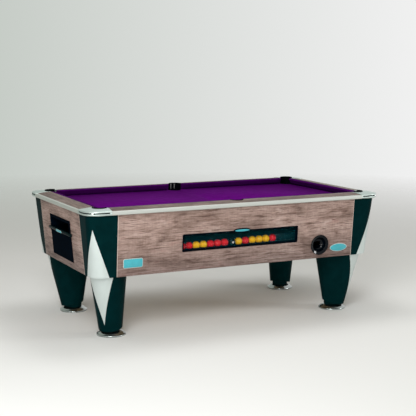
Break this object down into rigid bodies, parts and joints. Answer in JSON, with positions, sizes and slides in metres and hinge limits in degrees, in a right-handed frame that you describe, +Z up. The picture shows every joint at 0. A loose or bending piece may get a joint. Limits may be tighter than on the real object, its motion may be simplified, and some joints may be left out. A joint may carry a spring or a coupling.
{
  "type": "coin-operated pool table",
  "caption": "Slate-bed pool table with leaning wood-grain sides, dark corner posts and legs, ball window, cue-ball cup, ball hopper, coin slide and gate-released ball return.",
  "frame": {"origin": "on the floor, under the middle of the table", "axes": "+X along the table's length from the hopper end to the other end, -Y out of the side with the ball window, +Z up"},
  "size_m": [2.11, 1.18, 0.829],
  "materials": {
    "wood_grain_laminate": "grey-brown wood-grain laminate, satin",
    "dark_lacquer": "very dark green lacquer, satin",
    "silver_casting": "cast, smooth silver finish",
    "silver_trim": "extruded, smooth silver finish",
    "polished_foot": "polished",
    "pocket_plastic": "black, moulded",
    "bare_board": "bare board",
    "painted_board": "board, painted dark",
    "slate": "ground slate",
    "bed_cloth": "purple napped wool cloth",
    "covered_rubber": "rubber covered in the purple cloth",
    "window_plastic": "black, moulded",
    "window_glass": "clear",
    "glossy_plastic": "black, glossy",
    "hopper_plastic": "black, moulded",
    "gate_steel": "sheet steel",
    "coin_chrome": "polished",
    "ball_resin": "cast resin, polished"
  },
  "bodies": {
    "table": {"back_cap_rail": "wood_grain_laminate", "back_edge_trim": "silver_trim", "back_foot_cushion": "covered_rubber", "back_head_cushion": "covered_rubber", "back_middle_pocket_liner": "pocket_plastic", "back_panel": "wood_grain_laminate", "ball_trough": "painted_board", "base_board": "bare_board", "bed_cloth": "bed_cloth", "coin_plate": "coin_chrome", "cue_ball_cup": "glossy_plastic", "delivery_chute": "painted_board", "foot_back_corner_cap": "silver_casting", "foot_back_corner_post": "dark_lacquer", "foot_back_leg": "dark_lacquer", "foot_back_pocket_liner": "pocket_plastic", "foot_cap_rail": "wood_grain_laminate", "foot_cushion": "covered_rubber", "foot_edge_trim": "silver_trim", "foot_front_corner_cap": "silver_casting", "foot_front_corner_post": "dark_lacquer", "foot_front_leg": "dark_lacquer", "foot_front_pocket_liner": "pocket_plastic", "foot_panel": "wood_grain_laminate", "foot_slate_bearer": "bare_board", "front_ball_run": "painted_board", "front_cap_rail": "wood_grain_laminate", "front_edge_trim": "silver_trim", "front_foot_cushion": "covered_rubber", "front_head_cushion": "covered_rubber", "front_middle_pocket_liner": "pocket_plastic", "front_panel": "wood_grain_laminate", "head_back_corner_cap": "silver_casting", "head_back_corner_post": "dark_lacquer", "head_back_leg": "dark_lacquer", "head_back_pocket_liner": "pocket_plastic", "head_cap_rail": "wood_grain_laminate", "head_cushion": "covered_rubber", "head_edge_trim": "silver_trim", "head_front_corner_cap": "silver_casting", "head_front_corner_post": "dark_lacquer", "head_front_leg": "dark_lacquer", "head_front_pocket_liner": "pocket_plastic", "head_panel": "wood_grain_laminate", "head_slate_bearer": "bare_board", "hopper": "hopper_plastic", "rear_ball_run": "painted_board", "slate_bed": "slate", "window_frame": "window_plastic", "window_glass": "window_glass"},
    "head_front_foot": {"head_front_levelling_foot": "polished_foot"},
    "head_back_foot": {"head_back_levelling_foot": "polished_foot"},
    "foot_front_foot": {"foot_front_levelling_foot": "polished_foot"},
    "foot_back_foot": {"foot_back_levelling_foot": "polished_foot"},
    "coin_slide": {"coin_slide": "coin_chrome"},
    "gate": {"release_gate": "gate_steel"},
    "cash_box": {"cash_box": "gate_steel"},
    "cash_lock": {"cash_lock": "coin_chrome"},
    "ball_row": {"object_balls": "ball_resin"}
  },
  "joints": [
    {"name": "head_front_foot_level", "type": "slide", "parent": "table", "child": "head_front_foot", "axis": [0, 0, -1], "range_m": [0, 0.02]},
    {"name": "head_back_foot_level", "type": "slide", "parent": "table", "child": "head_back_foot", "axis": [0, 0, -1], "range_m": [0, 0.02]},
    {"name": "foot_front_foot_level", "type": "slide", "parent": "table", "child": "foot_front_foot", "axis": [0, 0, -1], "range_m": [0, 0.02]},
    {"name": "foot_back_foot_level", "type": "slide", "parent": "table", "child": "foot_back_foot", "axis": [0, 0, -1], "range_m": [0, 0.02]},
    {"name": "coin_push", "type": "slide", "parent": "table", "child": "coin_slide", "axis": [0, -1, 0], "range_m": [0, 0.028]},
    {"name": "gate_swing", "type": "hinge", "parent": "table", "child": "gate", "pos_m": [-0.461, -0.464, 0.6], "axis": [1, 0, 0], "range_deg": [0, 60]},
    {"name": "cash_box_pull", "type": "slide", "parent": "table", "child": "cash_box", "axis": [0, 1, 0], "range_m": [0, 0.2]},
    {"name": "cash_lock_turn", "type": "hinge", "parent": "cash_box", "child": "cash_lock", "pos_m": [-0.461, 0.54025, 0.465], "axis": [0, 1, 0], "range_deg": [0, 90]},
    {"name": "balls_roll", "type": "slide", "parent": "table", "child": "ball_row", "axis": [0.9999, 0, 0.0107], "range_m": [0, 0.25]}
  ],
  "couplings": [
    {"joint": "gate_swing", "follows": "coin_push", "rad_per_m": 37.4}
  ]
}
